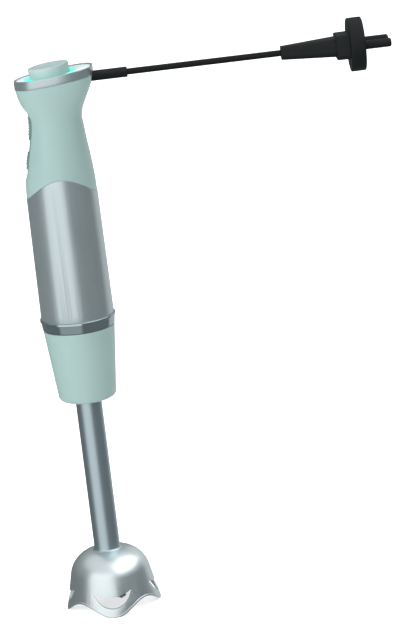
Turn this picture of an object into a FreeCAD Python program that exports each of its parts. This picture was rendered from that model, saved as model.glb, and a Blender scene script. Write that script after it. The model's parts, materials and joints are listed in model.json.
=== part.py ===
import FreeCAD, Part
import math
import os

# Immersion blender: a hand-held motor unit with a tilted speed dial on its head, a screw-on foot with a
# steel tube and bell, a four-wing blade, and a straight mains lead with its plug.
#
# Frame: +Z runs up the long axis, the axis of the motor, the blade and the foot's screw joint. +X points
# to the back, where the lead leaves, and -X to the front, where the buttons are. The origin is the middle
# of the circle on which the bell's four feet stand. Millimetres. Each piece goes to parts/NODE.step.

V = FreeCAD.Vector
Z = V(0, 0, 1)

# ---------------------------------------------------------------- driving sizes, in mm
bell_height = 42.0  # feet to the tube
bell_rim_r = 34.4
bell_shoulder_r = 28.6  # where the dome turns into the skirt
bell_shoulder_z = 27.0
bell_wall = 1.3
bell_lobe = 9.5  # how far the rim rises between the feet
foot_flat = 0.25  # what is taken off each foot so that it stands flat
window_half = 13.0  # half the width of a crescent window
window_low = 6.4
window_high = 14.4
window_tip = 16.2
window_end = 1.4  # how far the window is open at its tips

tube_r = 9.4
tube_wall = 0.8
tube_exposed = 115.0  # between bell and collar

collar_height = 53.0
collar_bottom_r = 20.6
collar_top_r = 25.6
collar_wall = 2.2
collar_round = 3.6
collar_floor = 3.0

part_gap = 0.4  # between the foot and the motor unit
ring_height = 7.8
ring_lip = 1.4
ring_proud = 0.95  # how far the ring's lip stands out past the sleeve
ring_seat = 1.0  # how far the sleeve stands down inside the ring
sleeve_tuck = 0.2  # how far the handle's foot stands down inside the sleeve
sleeve_height = 88.0  # at the front and back, where its edge is lowest
sleeve_arch = 15.6  # how much higher its edge is at the sides
sleeve_bottom_r = 26.1
sleeve_top_r = 25.2
sleeve_wall = 0.8

handle_length = 57.0  # sleeve edge to neck
head_rise = 30.4  # neck to the dial's foot
neck_front = 17.3
neck_back = 21.0
neck_half = 18.2
head_front = 23.3
head_back = 31.8
head_half = 19.7
shell_wall = 2.2
seam = 0.16
head_tilt = 5.5  # degrees, the head is higher at the back
head_x = 2.0  # where the dial's axis meets the head

trim_height = 6.2
trim_wall = 0.9
dial_r = 14.3
dial_height = 6.0  # above the trim ring
halo_width = 4.0

button_width = 12.5
power_length = 16.0
turbo_length = 12.0
button_travel = 1.5

shaft_r = 2.5
screw_lead = 24.0  # drop of the foot in one turn
spigot_r = 17.0
spigot_height = 11.0
lug_rise = 1.3  # how far the lugs stand out of the spigot
lug_height = 2.4
lug_low = 5.0  # above the foot's top

stator_r = 21.0
stack_height = 32.0

cord_d = 4.5
cord_free = 108.0  # strain relief to plug
cord_z = 387.2
relief_r = 3.65
relief_end_x = 55.8
relief_flange = 1.0  # how far the relief's flange stands out inside the head
relief_flange_t = 1.8
plug_taper = 39.5
plug_grip = 8.0
plug_flange_r = 18.8
plug_flange_t = 10.6
pin_pitch = 19.0
pin_length = 18.6
pin_r = 2.4
pin_cover_r = 3.1

# clearances
slip = 0.1  # pieces assembled into one another
run = 0.05  # a shaft in its bush
free = 0.35  # moving pieces beside fixed ones

# ---------------------------------------------------------------- levels along the axis
z_collar = bell_height + tube_exposed
z_foot = z_collar + collar_height
z_unit = z_foot + part_gap
z_sleeve = z_unit + ring_height - ring_seat
z_join = z_sleeve + sleeve_height - sleeve_tuck
z_arch = z_join + sleeve_arch
z_neck = z_join + handle_length
z_head = z_neck + head_rise

parts = {}


# ---------------------------------------------------------------- small makers
def rod(radius, low, high, x=0.0, y=0.0):
    """A round bar standing along Z."""
    return Part.makeCylinder(radius, high - low, V(x, y, low), Z)


def pipe(outer, inner, low, high, x=0.0, y=0.0):
    """A round tube standing along Z."""
    return rod(outer, low, high, x, y).cut(rod(inner, low - 1, high + 1, x, y))


def bar(radius, start, end):
    """A round bar from one point to another."""
    way = end - start
    return Part.makeCylinder(radius, way.Length, start, way)


def block(x0, x1, y0, y1, z0, z1):
    return Part.makeBox(x1 - x0, y1 - y0, z1 - z0, V(x0, y0, z0))


def turned(points):
    """A solid turned about Z from a closed outline of (radius, height) points."""
    corners = [V(r, 0, z) for r, z in points]
    face = Part.Face(Part.makePolygon(corners + corners[:1]))
    return face.revolve(V(0, 0, 0), Z, 360)


def spun(shape, count, start=0.0):
    """Copies of a shape, evenly spaced about Z."""
    copies = []
    for k in range(count):
        copy = shape.copy()
        copy.rotate(V(0, 0, 0), Z, start + 360.0 * k / count)
        copies.append(copy)
    return copies


def joined(shapes):
    first, rest = shapes[0], shapes[1:]
    return first.fuse(rest).removeSplitter() if rest else first


def group(shapes):
    return Part.makeCompound(shapes)


def keep(name, shape):
    parts[name] = shape


def mix(a, b, share):
    return a + (b - a) * share


def screw(head_r, head_t, shank_r, length):
    """A cross-head screw hanging from the origin, its head above."""
    body = rod(head_r, 0, head_t).fuse(rod(shank_r, -length, 0.1))
    slot = block(-head_r * 0.6, head_r * 0.6, -0.25, 0.25, head_t - 0.7, head_t + 1)
    cross = slot.copy()
    cross.rotate(V(0, 0, 0), Z, 90)
    return body.cut(slot.fuse(cross))


def placed(shape, at, turn=None):
    """A copy of a shape moved to a point, first turned about an axis by degrees."""
    copy = shape.copy()
    if turn:
        copy.rotate(V(0, 0, 0), turn[0], turn[1])
    copy.translate(at)
    return copy


# ---------------------------------------------------------------- the head's tilted frame
head_place = FreeCAD.Placement(V(head_x, 0, z_head), FreeCAD.Rotation(V(0, 1, 0), -head_tilt))


def tilted(shape):
    """A shape drawn about the dial's axis, with its zero on the trim ring's top, set on the head."""
    copy = shape.copy()
    copy.Placement = head_place.multiply(copy.Placement)
    return copy


def slab(low, high):
    """Everything between two heights of the tilted frame."""
    return tilted(block(-90, 90, -90, 90, low, high))


# ---------------------------------------------------------------- the handle's outer skin
def body_r(z):
    """Outer radius of the tapering sleeve at a height."""
    return mix(sleeve_bottom_r, sleeve_top_r, (z - z_sleeve) / sleeve_height)


def egg(front, back, half, z):
    """A closed smooth outline, longer to the back than to the front."""
    count = 20
    power = 2.0 / mix(2.0, 2.9, max(0.0, back - front) / 8.5)
    points = []
    for k in range(count):
        angle = 2 * math.pi * k / count
        c, s = math.cos(angle), math.sin(angle)
        reach = back if c > 0 else front
        grip = power if c > 0 else 1.0
        x = math.copysign(abs(c) ** grip, c) * reach
        y = math.copysign(abs(s) ** grip, s) * half
        points.append(V(x, y, z))
    curve = Part.BSplineCurve()
    curve.interpolate(Points=points, PeriodicFlag=True)
    return Part.Wire([curve.toShape()])


def drawn_in(share):
    """How far the outline has drawn in, from the sleeve's edge at 0 to the neck at 1."""
    share = max(0.0, share)
    return (share * share * (3 - 2 * share)) ** 1.25


def spread_out(share):
    """How far the outline has spread again, from the neck at 0 to the head at 1."""
    return math.sin(math.pi / 2 * share) ** 1.5


def skin(inset):
    """The solid inside the handle's outer surface, drawn in by an inset."""
    round_r = body_r(z_join) - 0.25
    wires = []
    for share in (-0.2, -0.1, 0.0, 0.14, 0.28, 0.42, 0.56, 0.7, 0.85, 1.0):
        along = drawn_in(share)
        across = drawn_in(max(0.0, share - 0.18) / 0.82)
        front = mix(round_r, neck_front, along)
        back = mix(round_r, neck_back, along)
        half = mix(round_r, neck_half, across)
        wires.append(egg(front - inset, back - inset, half - inset, mix(z_join, z_neck, share)))
    for share in (0.18, 0.36, 0.54, 0.72, 0.9, 1.1, 1.3):
        spread = spread_out(min(share, 1.0))
        front = mix(neck_front, head_front, spread_out(min(1.32 * share, 1.0)))
        back = mix(neck_back, head_back, spread)
        half = mix(neck_half, head_half, spread)
        wires.append(egg(front - inset, back - inset, half - inset, mix(z_neck, z_head, share)))
    return Part.makeLoft(wires, True, False)


panel_recess = 1.2  # how deep the button panel and the head deck lie below the outer skin
panel_back = shell_wall + 1.2  # the panel's flange behind the shell
trim_proud = 0.3  # the trim ring stands out, and the buttons lie in, by this
tuck_depth = 1.1  # the handle's foot inside the sleeve
insets = (-trim_proud, 0.0, trim_proud, trim_wall, tuck_depth, panel_recess)
skins = {inset: skin(inset) for inset in (*insets, shell_wall, shell_wall + slip, panel_back)}


def arch_block(drop):
    """Everything above the sleeve's edge lowered by a distance: low at front and back, high at the sides."""
    reach = sleeve_bottom_r + 6
    low = mix(z_arch, z_join, (reach / body_r(z_join)) ** 2) - drop
    left, right = V(-reach, 0, low), V(reach, 0, low)
    shoulder = reach / 2
    level = mix(z_arch, z_join, (shoulder / body_r(z_join)) ** 2) - drop
    curve = Part.BSplineCurve()
    curve.interpolate([left, V(-shoulder, 0, level), V(0, 0, z_arch - drop), V(shoulder, 0, level), right])
    lid = z_head + 60
    rest = Part.makePolygon([right, V(reach, 0, lid), V(-reach, 0, lid), left])
    face = Part.Face(Part.Wire([curve.toShape()] + rest.Edges))
    return placed(face, V(0, -60, 0)).extrude(V(0, 120, 0))


# ---------------------------------------------------------------- foot: bell, tube, collar
bush_r = 5.5
hub_r = 12.0
hub_low = 22.0
hub_plug = 10.0  # how far the hub stands up inside the tube


def crescent():
    """One smile-shaped window, cut outwards along +X."""
    open_r = window_end / 2
    top = window_tip + window_end
    low = [V(0, -window_half, window_tip), V(0, 0, window_low), V(0, window_half, window_tip)]
    high = [V(0, window_half, top), V(0, 0, window_high), V(0, -window_half, top)]
    under = Part.Arc(low[0], low[1], low[2]).toShape()
    over = Part.Arc(high[0], high[1], high[2]).toShape()
    bow_a = Part.Arc(low[2], V(0, window_half + open_r, window_tip + open_r), high[0]).toShape()
    bow_b = Part.Arc(high[2], V(0, -window_half - open_r, window_tip + open_r), low[0]).toShape()
    face = Part.Face(Part.Wire([under, bow_a, over, bow_b]))
    return placed(face, V(hub_r + 4, 0, 0)).extrude(V(bell_rim_r, 0, 0))


def rim_valley():
    """The smooth arch between two feet, cut outwards along +X."""
    half = bell_rim_r * math.sin(math.pi / 4)
    count = 8
    points = []
    for k in range(count + 1):
        turn = mix(-math.pi / 4, math.pi / 4, k / count)
        rise = bell_lobe * math.cos(2 * turn) ** 2 - foot_flat
        points.append(V(0, bell_rim_r * math.sin(turn), rise))
    curve = Part.BSplineCurve()
    curve.interpolate(points)
    rest = Part.makePolygon([points[-1], V(0, half, -9), V(0, -half, -9), points[0]])
    face = Part.Face(Part.Wire([curve.toShape()] + rest.Edges))
    return placed(face, V(hub_r, 0, 0)).extrude(V(bell_rim_r + 20, 0, 0))


def bell_profile(inset):
    """The bell's outline in the XZ plane: skirt, shoulder arc and dome."""
    rim = V(bell_rim_r - inset, 0, 0)
    shoulder = V(bell_shoulder_r - inset, 0, bell_shoulder_z - inset * 0.45)
    crown = V(tube_r, 0, bell_height - inset)
    bow_r = mix(tube_r, bell_shoulder_r, 0.66) - inset * 0.45
    bow_z = mix(bell_shoulder_z, bell_height, 0.68) - inset * 0.9
    middle = V(bow_r, 0, bow_z)
    return rim, shoulder, middle, crown


def make_bell():
    outer, inner = bell_profile(0.0), bell_profile(bell_wall)
    edges = [
        Part.LineSegment(inner[0], outer[0]).toShape(),
        Part.LineSegment(outer[0], outer[1]).toShape(),
        Part.Arc(outer[1], outer[2], outer[3]).toShape(),
        Part.LineSegment(outer[3], inner[3]).toShape(),
        Part.Arc(inner[3], inner[2], inner[1]).toShape(),
        Part.LineSegment(inner[1], inner[0]).toShape(),
    ]
    bell = Part.Face(Part.Wire(edges)).revolve(V(0, 0, 0), Z, 360)
    bell = bell.cut(spun(rim_valley(), 4, 45))
    bell = bell.cut(spun(crescent(), 4))
    keep("bell", bell)
    collar_low = bell_height - bell_wall - 0.9
    hub = turned(
        [
            (bush_r, hub_low),
            (hub_r - 3.0, hub_low),
            (hub_r, hub_low + 4),
            (hub_r, collar_low - 2.5),
            (tube_r - tube_wall - slip, collar_low),
            (tube_r - tube_wall - slip, bell_height + hub_plug),
            (bush_r, bell_height + hub_plug),
        ]
    )
    keep("bell_hub", hub)


bush_low = hub_low + 5.0
bush_high = bell_height + 2.0
tube_top = z_foot - 16.0
steady_height = 9.0
steady_port_r = 1.5
steady_port_ring = 5.6
collar_rib_t = 1.6
collar_rib_height = 7.0


def make_tube():
    keep("foot_tube", pipe(tube_r, tube_r - tube_wall, bell_height - bell_wall, tube_top))
    inner_r = tube_r - tube_wall
    middle = mix(bell_height, tube_top, 0.5)
    steady = pipe(inner_r - slip, shaft_r + run, middle, middle + steady_height)
    port = rod(steady_port_r, middle - 1, middle + steady_height + 1, steady_port_ring, 0)
    steady = steady.cut(spun(port, 4))
    keep("shaft_steady", steady)


def make_collar():
    top, low = z_foot, z_collar
    floor = low + collar_floor
    outline = [
        V(tube_r + slip, 0, low),
        V(collar_bottom_r - collar_round, 0, low),
        V(collar_bottom_r + 0.2, 0, low + collar_round),
        V(collar_top_r, 0, top),
        V(collar_top_r - collar_wall, 0, top),
        V(collar_bottom_r - collar_wall, 0, floor + 1),
        V(collar_bottom_r - collar_wall - 1, 0, floor),
        V(tube_r + slip, 0, floor),
    ]
    corner = V(collar_bottom_r - collar_round * 0.27, 0, low + collar_round * 0.25)
    edges = [Part.LineSegment(outline[0], outline[1]).toShape()]
    edges.append(Part.Arc(outline[1], corner, outline[2]).toShape())
    for k in range(2, len(outline)):
        edges.append(Part.LineSegment(outline[k], outline[(k + 1) % len(outline)]).toShape())
    shell = Part.Face(Part.Wire(edges)).revolve(V(0, 0, 0), Z, 360)
    half = collar_rib_t / 2
    rib_end = collar_bottom_r - collar_wall + 0.6
    rib = block(tube_r + 2, rib_end, -half, half, floor - 0.5, floor + collar_rib_height)
    shell = shell.fuse(spun(rib, 6, 30)).removeSplitter()
    keep("foot_collar", shell)


# ---------------------------------------------------------------- screw joint between foot and motor unit
seal_r = 19.9
seal_section = 1.0
seal_groove = seal_section + slip
deck_height = 4.5
collar_cone = collar_height - 4.0  # the straight part of the collar's wall
stem_wall = 2.8
stem_length = 12.0
spigot_wall = 2.4
upper_bush_r = bush_r + 0.5
socket_top_t = 2.6
socket_flange_t = 1.5
socket_bore = 4.6  # clear of the upper coupling half
well_r = 11.4  # the recess that the drive coupling turns in
bush_top = z_foot - 6.5
socket_roof = z_unit + spigot_height + 3.2
lug_count = 3
lug_turn = 26.0  # degrees that one lug spans


def helix_ridge(inner, outer, low, height, start, turn):
    """A ridge winding up the screw's lead, from one angle over a turn in degrees."""
    rise = screw_lead * turn / 360.0
    section = [V(inner, 0, 0), V(outer, 0, 0), V(outer, 0, height), V(inner, 0, height)]
    profile = Part.makePolygon(section + section[:1])
    path = Part.makeHelix(screw_lead, rise, spigot_r)
    sweep = Part.Wire(path.Edges).makePipeShell([profile], True, True)
    return placed(sweep, V(0, 0, low), (Z, start))


def make_spigot():
    deck_r = collar_top_r - collar_wall - slip
    deck_low = z_foot - deck_height
    lean = (collar_top_r - collar_bottom_r) / collar_cone * deck_height
    deck = turned([(0, deck_low), (deck_r - lean, deck_low), (deck_r, z_foot), (0, z_foot)])
    body = deck.fuse(rod(spigot_r, z_foot - 1, z_foot + spigot_height))
    stem = rod(tube_r + stem_wall, tube_top - stem_length, deck_low + 1)
    body = body.fuse(stem)
    body = body.cut(rod(spigot_r - spigot_wall, z_foot, z_foot + spigot_height + 1))
    body = body.cut(rod(well_r, bush_top + 0.6, z_foot + 1))
    body = body.cut(rod(tube_r + slip / 2, tube_top - stem_length - 1, tube_top))
    body = body.cut(rod(upper_bush_r, tube_top - 1, bush_top + 1))
    body = body.cut(pipe(seal_r + seal_groove, seal_r - seal_groove, z_foot - seal_section, z_foot + 1))
    low = z_foot + lug_low
    lug = helix_ridge(spigot_r - 0.6, spigot_r + lug_rise, low, lug_height, 0.0, lug_turn)
    keep("foot_spigot", joined([body] + spun(lug, lug_count)))
    keep("foot_seal", Part.makeTorus(seal_r, seal_section, V(0, 0, z_foot + part_gap / 2), Z))


def make_socket():
    wall_r = body_r(z_sleeve) - sleeve_wall - 1.4 - shell_wall + 0.1
    flange_r = wall_r + 2.0
    roof = socket_roof
    body = rod(wall_r, z_unit, roof + socket_top_t).fuse(rod(flange_r, z_unit, z_unit + socket_flange_t))
    body = body.cut(rod(spigot_r + 0.3, z_unit - 1, roof))
    body = body.cut(rod(socket_bore, roof - 1, roof + socket_top_t + 1))
    body = body.cut(pipe(seal_r + seal_groove, seal_r - seal_groove, z_unit - 1, z_unit + seal_section))
    low = z_foot + lug_low - free
    climb = lug_low + lug_height + free - part_gap  # from the mouth to the roof of a groove
    entry = climb / screw_lead * 360.0 + 6
    drop = screw_lead * entry / 360.0
    tall = lug_height + 2 * free
    reach = spigot_r + lug_rise + free
    groove = helix_ridge(spigot_r - 0.5, reach, low - drop, tall, -entry, entry + lug_turn + 4)
    body = body.cut(spun(groove, lug_count))
    keep("coupling_socket", body)
    return wall_r, flange_r


# ---------------------------------------------------------------- drive coupling and blade shaft
fin_low = z_unit + 3.6
fin_high = z_unit + 9.0
fin_spread = 30.0  # degrees
driver_hub_r = 4.4
fin_r = 8.0
tooth_r = 8.8
tooth_lag = 32.0  # degrees by which a tooth stands behind its fin
driver_rim = 10.2
cup_r = 8.5
cup_floor = 1.4


def sector(inner, outer, low, high, middle, spread):
    """A slice of a ring, centred on an angle and spreading over degrees."""
    part = Part.makeCylinder(outer, high - low, V(0, 0, low), Z, spread)
    part.rotate(V(0, 0, 0), Z, middle - spread / 2)
    return part.cut(rod(inner, low - 1, high + 1))


def make_drive():
    hub = rod(driver_hub_r, fin_low - 0.8, socket_roof - 0.6)
    fin = sector(driver_hub_r - 0.6, fin_r, fin_low, fin_high, 0, fin_spread)
    driver = joined([hub] + spun(fin, 2)).cut(rod(shaft_r, z_unit, socket_roof))
    keep("motor_driver", driver)
    base_low = bush_top + 1.0
    base_high = fin_low - cup_floor
    shaft_end = base_high - 1.2
    cup = rod(driver_rim, base_low, fin_high - 0.6).cut(rod(cup_r, base_high, fin_high))
    tooth = sector(driver_hub_r + 0.6, tooth_r, base_high - 0.2, fin_high - 0.9, -tooth_lag, fin_spread)
    cup = joined([cup] + spun(tooth, 2)).cut(rod(shaft_r, base_low - 1, shaft_end))
    keep("foot_driver", cup)
    keep("drive_shaft", rod(shaft_r, blade_z - stub, shaft_end))


blade_z = 15.0
blade_r = 22.5
blade_t = 1.2
blade_hub_r = 6.0
blade_twist = 12.0  # degrees about the wing's length
blade_bends = (14.0, -12.0, 14.0, -12.0)  # degrees that the wings are bent up or down
stub = 3.5  # how far the shaft stands below the blade's top
nut_r = 4.2
nut_height = 4.4
nut_flat = 3.6
washer_t = 1.0
seat_r = nut_r + 0.4


def make_blade():
    under = blade_z - blade_t
    root = 4.0
    tip = blade_r - 1
    outline = [
        V(root, -3.6, 0),
        V(blade_r - 5, -4.4, 0),
        V(blade_r, -1.5, 0),
        V(tip, 2.6, 0),
        V(root, 3.6, 0),
    ]
    wings = []
    for k, bend in enumerate(blade_bends):
        wing = Part.Face(Part.makePolygon(outline + outline[:1])).extrude(V(0, 0, blade_t))
        wing.rotate(V(root, 0, 0), V(1, 0, 0), blade_twist)
        wing.rotate(V(root + 1, 0, 0), V(0, 1, 0), -bend)
        wing.translate(V(0, 0, under))
        wing.rotate(V(0, 0, 0), Z, 90.0 * k + 20)
        wings.append(wing)
    room = 9.0
    seats = [rod(seat_r, blade_z, blade_z + room), rod(seat_r, blade_z - room, under)]
    bore = rod(shaft_r, blade_z - room, blade_z + room)
    keep("blade", joined([rod(blade_hub_r, under, blade_z)] + wings).cut(seats + [bore]))
    nut_low = under - nut_height
    nut = turned(
        [
            (0, nut_low),
            (2.6, nut_low),
            (nut_r, nut_low + 1.2),
            (nut_r, under),
            (shaft_r, under),
            (shaft_r, blade_z - stub),
            (0, blade_z - stub),
        ]
    )
    flat = block(nut_flat, room, -room, room, nut_low - 1, blade_z)
    washer = pipe(nut_r + 0.2, shaft_r, blade_z, blade_z + washer_t)
    keep("blade_fixings", group([nut.cut(spun(flat, 2)), washer]))
    lower = pipe(bush_r - slip / 2, shaft_r + run, bush_low, bush_high)
    upper = pipe(upper_bush_r - slip / 2, shaft_r + run, tube_top, bush_top)
    keep("shaft_bushes", group([lower, upper]))
    seal = turned(
        [
            (shaft_r + run, hub_low - 1.6),
            (3.4, hub_low - 1.6),
            (bush_r - slip / 2, hub_low),
            (bush_r - slip / 2, bush_low - slip),
            (shaft_r + run, bush_low - slip),
        ]
    )
    keep("shaft_seal", seal)


# ---------------------------------------------------------------- motor
motor_low = socket_roof + socket_top_t + 3.0
bracket_t = 3.0
fan_low = motor_low + bracket_t + 4.6
stack_low = fan_low + 12.0
stack_high = stack_low + stack_height
commutator_low = stack_high + 6.5
commutator_high = commutator_low + 11.0
brush_mid = mix(commutator_low, commutator_high, 0.5)
upper_plate = commutator_high + 2.5
shaft_high = upper_plate + 7.0
web_low = upper_plate + 4.2  # the web in the handle that steadies the motor
web_high = web_low + 2.0
cushion_r = 10.0
cushion_bore = 7.0
rotor_r = 11.4
slot_ring = rotor_r - 1.6
slot_count = 12
commutator_r = 7.6
bar_count = 24
brush_w = 5.0
brush_wall = 0.6
brush_length = 8.4
post_ring = stator_r - 2.0  # where the long bolts stand
post_r = 1.9
bolt_r = 1.1
bracket_r = stator_r - 0.2
lower_bearing_r = 5.5
upper_bearing_r = 4.8
upper_plate_t = 2.4
fan_r = 16.5
vane_count = 10
coil_inner = rotor_r + 3.2
coil_outer = stator_r - 4.4
coil_rise = 4.0


def at_posts(shape):
    """Copies of a shape at the four long bolts."""
    return spun(placed(shape, V(post_ring, 0, 0)), 4, 45)


def make_brackets():
    """The plates below and above the stack, with their posts, bearings and long bolts."""
    holes = at_posts(rod(bolt_r + slip, motor_low - 1, upper_plate + 9))
    floor = motor_low + bracket_t
    lower = rod(bracket_r, motor_low, floor).fuse(rod(7.5, motor_low - 2.4, floor + 3))
    lower = lower.cut(rod(lower_bearing_r, motor_low - 0.4, floor + 4))
    lower = lower.cut(rod(3.4, motor_low - 4, motor_low))
    posts = at_posts(rod(post_r, floor - 0.2, stack_low))
    vent = sector(9.5, stator_r - 5, motor_low - 1, floor + 1, 0, 50)
    keep("lower_motor_bracket", joined([lower.cut(spun(vent, 4))] + posts).cut(holes))

    plate = rod(bracket_r, upper_plate, upper_plate + upper_plate_t)
    vent = sector(9.0, stator_r - 5.5, upper_plate - 1, upper_plate + 4, 0, 46)
    plate = plate.cut(spun(vent, 2)).fuse(rod(7.0, upper_plate, upper_plate + 6.6))
    plate = plate.cut(rod(upper_bearing_r, upper_plate - 1, upper_plate + 7.6))
    posts = at_posts(rod(post_r, stack_high, upper_plate + 0.2))
    half = brush_w / 2 + 1.6
    arm_low = brush_mid + brush_w / 2 + brush_wall
    arm = block(-half, half, commutator_r + 1.2, stator_r - 1.6, arm_low, upper_plate + 0.2)
    keep("upper_motor_bracket", joined([plate] + posts + spun(arm, 2)).cut(holes))

    lower = pipe(lower_bearing_r - slip / 2, shaft_r + run, motor_low - 0.4, floor + 2.8)
    upper = pipe(upper_bearing_r - slip / 2, shaft_r + run, upper_plate + 0.6, upper_plate + 6.4)
    keep("motor_bearings", group([lower, upper]))
    top = upper_plate + upper_plate_t
    bolt = placed(screw(1.9, 1.4, bolt_r, top - motor_low - 0.6), V(0, 0, top))
    keep("motor_bolts", group(at_posts(bolt)))
    return holes


def make_stator(holes):
    core = rod(stator_r, stack_low, stack_high).cut(rod(rotor_r + 0.5, stack_low - 1, stack_high + 1))
    window = sector(rotor_r + 2.6, stator_r - 3.6, stack_low - 1, stack_high + 1, 0, 84)
    mouth = sector(rotor_r - 1, rotor_r + 3, stack_low - 1, stack_high + 1, 0, 40)
    keep("stator_core", core.cut(spun(window, 2) + spun(mouth, 2) + holes))
    coils = []
    for middle in (90.0, 270.0):
        below = sector(coil_inner, coil_outer, stack_low - coil_rise, stack_low - 0.2, middle, 160)
        above = sector(coil_inner, coil_outer, stack_high + 0.2, stack_high + coil_rise, middle, 160)
        legs = []
        for side in (-62, 62):
            legs.append(sector(coil_inner, coil_outer, stack_low - 2, stack_high + 2, middle + side, 20))
        coils.append(joined([below, above] + legs))
    keep("field_coils", group(coils))


def make_rotor():
    keep("motor_shaft", rod(shaft_r, fin_low - 0.6, shaft_high - 1.0))
    core = rod(rotor_r, stack_low, stack_high).cut(rod(shaft_r, stack_low - 1, stack_high + 1))
    slot = rod(1.25, stack_low - 1, stack_high + 1, slot_ring, 0)
    keep("rotor_core", core.cut(spun(slot, slot_count)))
    lower_turns = turned(
        [
            (4.0, stack_low - 4.2),
            (8.2, stack_low - 4.2),
            (9.6, stack_low - 2.0),
            (9.2, stack_low),
            (4.0, stack_low),
        ]
    )
    upper_turns = lower_turns.mirror(V(0, 0, mix(stack_low, stack_high, 0.5)), Z)
    wire = rod(1.15, stack_low - 0.5, stack_high + 0.5, slot_ring, 0)
    keep("rotor_winding", joined([lower_turns, upper_turns] + spun(wire, slot_count)))
    bars = rod(commutator_r, commutator_low, commutator_high)
    bars = bars.fuse(rod(commutator_r + 1.4, commutator_low - 2, commutator_low))
    saw = block(commutator_r - 0.8, commutator_r + 3, -0.2, 0.2, commutator_low - 3, commutator_high + 1)
    bars = bars.cut(spun(saw, bar_count)).cut(rod(shaft_r, commutator_low - 4, commutator_high + 1))
    keep("commutator", bars)
    fan = rod(5.0, fan_low, fan_low + 6.0).fuse(rod(fan_r, fan_low + 4.8, fan_low + 6.0))
    vane = block(4.0, fan_r - 0.2, -0.5, 0.5, fan_low, fan_low + 5.0)
    keep("cooling_fan", joined([fan] + spun(vane, vane_count)).cut(rod(shaft_r, fan_low - 1, fan_low + 9)))


def make_brushes():
    """Two brushes, each in its holder and pressed in by a coil spring."""
    half = brush_w / 2
    wall = half + brush_wall
    near, far = commutator_r + 1.6, stator_r - 1.8
    holder = block(-wall, wall, near, far, brush_mid - wall, brush_mid + wall)
    holder = holder.cut(block(-half, half, near - 1, far + 1, brush_mid - half, brush_mid + half))
    keep("brush_holders", group(spun(holder, 2)))
    grip = half - slip
    back = commutator_r - 0.4 + brush_length
    carbon = block(-grip, grip, commutator_r - 0.4, back, brush_mid - grip, brush_mid + grip)
    carbon = carbon.cut(rod(commutator_r + 0.04, brush_mid - 9, brush_mid + 9))
    keep("carbon_brushes", group(spun(carbon, 2)))
    coil_r = half - 0.9
    coil = Part.makeHelix(1.1, stator_r - 2.6 - back, coil_r)
    section = Part.Wire(Part.makeCircle(0.25, V(coil_r, 0, 0), V(0, 1, 0)))
    spring = Part.Wire(coil.Edges).makePipeShell([section], True, True)
    spring = placed(spring, V(0, back + 0.3, brush_mid), (V(1, 0, 0), -90))
    keep("brush_springs", group(spun(spring, 2)))


def make_motor():
    make_stator(make_brackets())
    make_rotor()
    make_brushes()
    cavity = body_r(z_join) - 1.0 - shell_wall - 0.4
    lower = pipe(cavity, cavity - 6, socket_roof + socket_top_t, motor_low)
    keep("motor_cushions", group([lower, pipe(cushion_r, cushion_bore, web_low - 0.6, web_high + 0.6)]))


# ---------------------------------------------------------------- motor unit casing
def make_casing(wall_r, flange_r):
    inner_ring = wall_r + 2.0 + slip
    ring_top = z_unit + ring_height
    lip_r = sleeve_bottom_r + ring_proud
    bore_r = sleeve_bottom_r + slip / 2
    ring = turned(
        [
            (flange_r + slip, z_unit),
            (sleeve_bottom_r - 0.35, z_unit),
            (lip_r - 0.5, ring_top - ring_lip - 0.3),
            (lip_r, ring_top - ring_lip),
            (lip_r, ring_top - 0.3),
            (lip_r - 0.35, ring_top),
            (bore_r, ring_top),
            (bore_r, z_sleeve),
            (inner_ring, z_sleeve),
        ]
    )
    keep("base_ring", ring)
    top = z_arch + 1
    outer = turned([(0, z_sleeve), (body_r(z_sleeve), z_sleeve), (body_r(top), top), (0, top)])
    low_r = body_r(z_sleeve - 1) - sleeve_wall
    high_r = body_r(top + 1) - sleeve_wall
    inner = turned([(0, z_sleeve - 1), (low_r, z_sleeve - 1), (high_r, top + 1), (0, top + 1)])
    keep("motor_sleeve", outer.cut(inner).cut(arch_block(0.0)))

    under = sleeve_wall + slip
    core_top = z_join - 3.0
    core = turned(
        [
            (0, z_unit + socket_flange_t),
            (inner_ring - slip, z_unit + socket_flange_t),
            (inner_ring - slip, z_sleeve),
            (body_r(z_sleeve) - under, z_sleeve),
            (body_r(core_top) - under, core_top),
            (0, core_top),
        ]
    )
    grip = skins[0.0].common(arch_block(-slip)).cut(slab(-trim_height, 200))
    tuck = skins[tuck_depth].common(block(-90, 90, -90, 90, core_top - 0.5, z_arch + 1))
    body = core.fuse([grip, tuck])
    hollow_top = z_join - 4
    hollow = turned(
        [
            (0, z_unit),
            (wall_r + slip / 2, z_unit),
            (wall_r + slip / 2, z_sleeve + 1.2),
            (body_r(z_sleeve) - under - shell_wall, z_sleeve + 1.2 + shell_wall),
            (body_r(hollow_top) - under - shell_wall, hollow_top),
            (0, hollow_top),
        ]
    )
    cavity = skins[shell_wall].common(block(-90, 90, -90, 90, hollow_top - 0.1, z_head + 60))
    return body.cut(hollow).cut(cavity)


panel_low = 14.0  # above the sleeve's edge
panel_high = 10.0  # above the neck
panel_half = 9.6


def tongue(half, low, high, x0=-60.0, x1=0.0):
    """A bar along X with a round-cornered outline, wide in Y by two halves."""
    bar_box = block(x0, x1, -half, half, low, high)
    corner = 0.96 * min(half, (high - low) / 2)
    long_edges = [e for e in bar_box.Edges if abs(e.BoundBox.XLength - (x1 - x0)) < 0.01]
    return bar_box.makeFillet(corner, long_edges)


board_x = -1.0
board_t = 1.6
switch_len = 8.0
switch_half = 6.4
stem_x = -15.2  # where the button's cup ends and its stem starts
stem_r = 2.2
plunger_r = 1.2


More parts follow.
